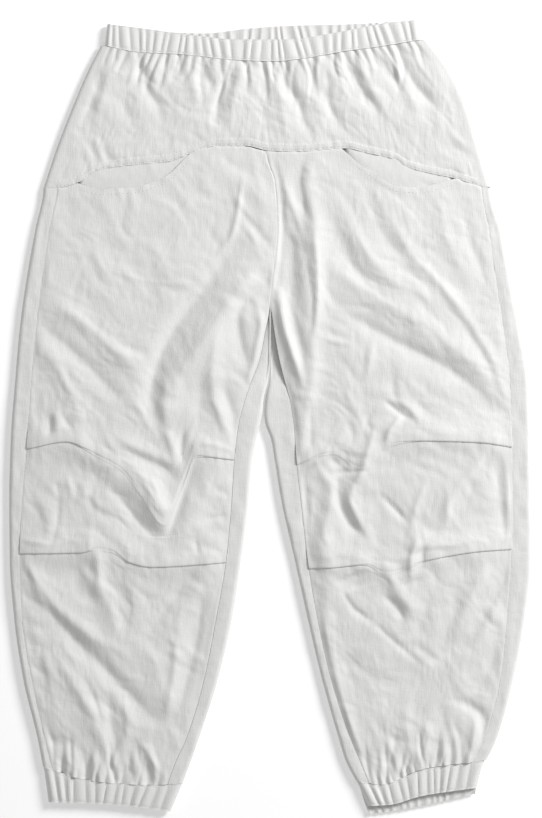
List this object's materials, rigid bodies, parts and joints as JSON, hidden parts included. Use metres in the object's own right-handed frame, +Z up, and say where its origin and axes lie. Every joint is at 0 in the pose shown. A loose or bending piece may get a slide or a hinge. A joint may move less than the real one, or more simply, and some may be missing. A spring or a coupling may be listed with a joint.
{
  "type": "parachute pants",
  "caption": "Child's loose cotton parachute pants laid flat, with a gathered elastic waist, a hip yoke, curved pockets, tucked knees and gathered elastic cuffs.",
  "frame": {"origin": "on the surface the pants lie on, under the middle of their bounding box", "axes": "+Z up out of the front of the garment, +Y from the cuffs to the waist, +X to the wearer's left"},
  "size_m": [0.4188, 0.6357, 0.0114],
  "materials": {
    "shell_cloth": "matt crinkled cotton",
    "pocket_cloth": "matt smooth cotton"
  },
  "bodies": {
    "root": {"waist_casing": "shell_cloth", "yoke_front": "shell_cloth", "yoke_back": "shell_cloth", "right_leg_front": "shell_cloth", "left_leg_front": "shell_cloth", "right_leg_back": "shell_cloth", "left_leg_back": "shell_cloth", "right_cuff": "shell_cloth", "left_cuff": "shell_cloth", "right_pocket_bag": "pocket_cloth", "left_pocket_bag": "pocket_cloth"}
  },
  "joints": []
}
